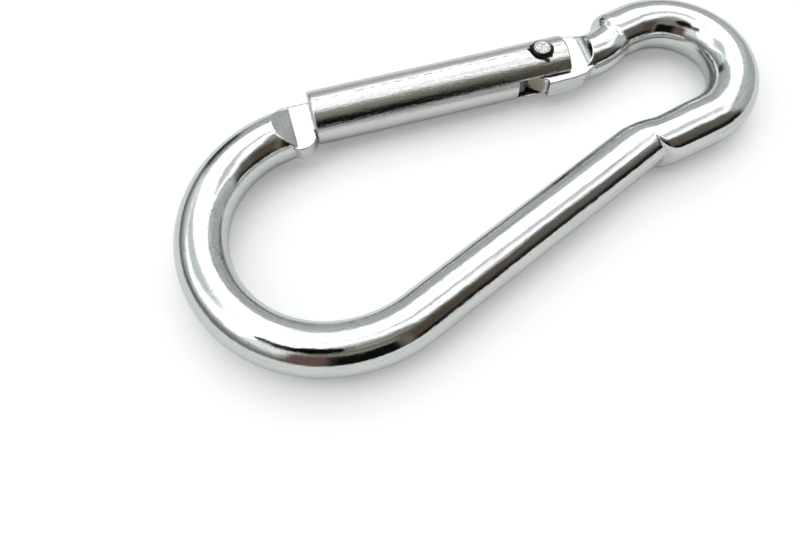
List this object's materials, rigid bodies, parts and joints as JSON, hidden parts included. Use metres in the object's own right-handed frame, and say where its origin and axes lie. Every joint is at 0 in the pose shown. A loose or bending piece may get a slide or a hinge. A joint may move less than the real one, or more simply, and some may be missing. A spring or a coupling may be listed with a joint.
{
  "type": "carabiner",
  "caption": "Pear-shaped spring snap hook bent from round bar, with a small closed eye at one end and a tubular sprung gate that hinges inwards on a rivet.",
  "frame": {"origin": "centre of the bounding box in X and Y, at its lowest point in Z, with the hook lying flat on the lower head of its rivet", "axes": "+X along the hook's length from the big bend to the small eye, +Y across it towards the gate, +Z square to the plane of the hook"},
  "size_m": [0.1402, 0.0652, 0.0133],
  "materials": {
    "body": "bright plated, slightly wavy",
    "gate": "plated, fine lengthwise grain",
    "rivet": "dull and speckled, grimy round the head",
    "plunger": "dark and oily",
    "spring": "drawn wire"
  },
  "bodies": {
    "hook": {"body": "body"},
    "gate": {"gate": "gate", "rivet": "rivet", "spring": "spring"},
    "plunger": {"plunger": "plunger"}
  },
  "joints": [
    {"name": "gate_hinge", "type": "hinge", "parent": "hook", "child": "gate", "pos_m": [0.0239, 0.01534, 0.00666], "axis": [0, 0, 1], "range_deg": [0, 28], "stiffness_Nm_per_rad": 0.15, "springref_deg": -20.05},
    {"name": "plunger_slide", "type": "slide", "parent": "gate", "child": "plunger", "axis": [-0.976, 0.2176, 0], "range_m": [0, 0.0012], "deforming": ["spring"]}
  ],
  "couplings": [
    {"joint": "plunger_slide", "follows": "gate_hinge", "m_per_rad": 0.00213}
  ]
}
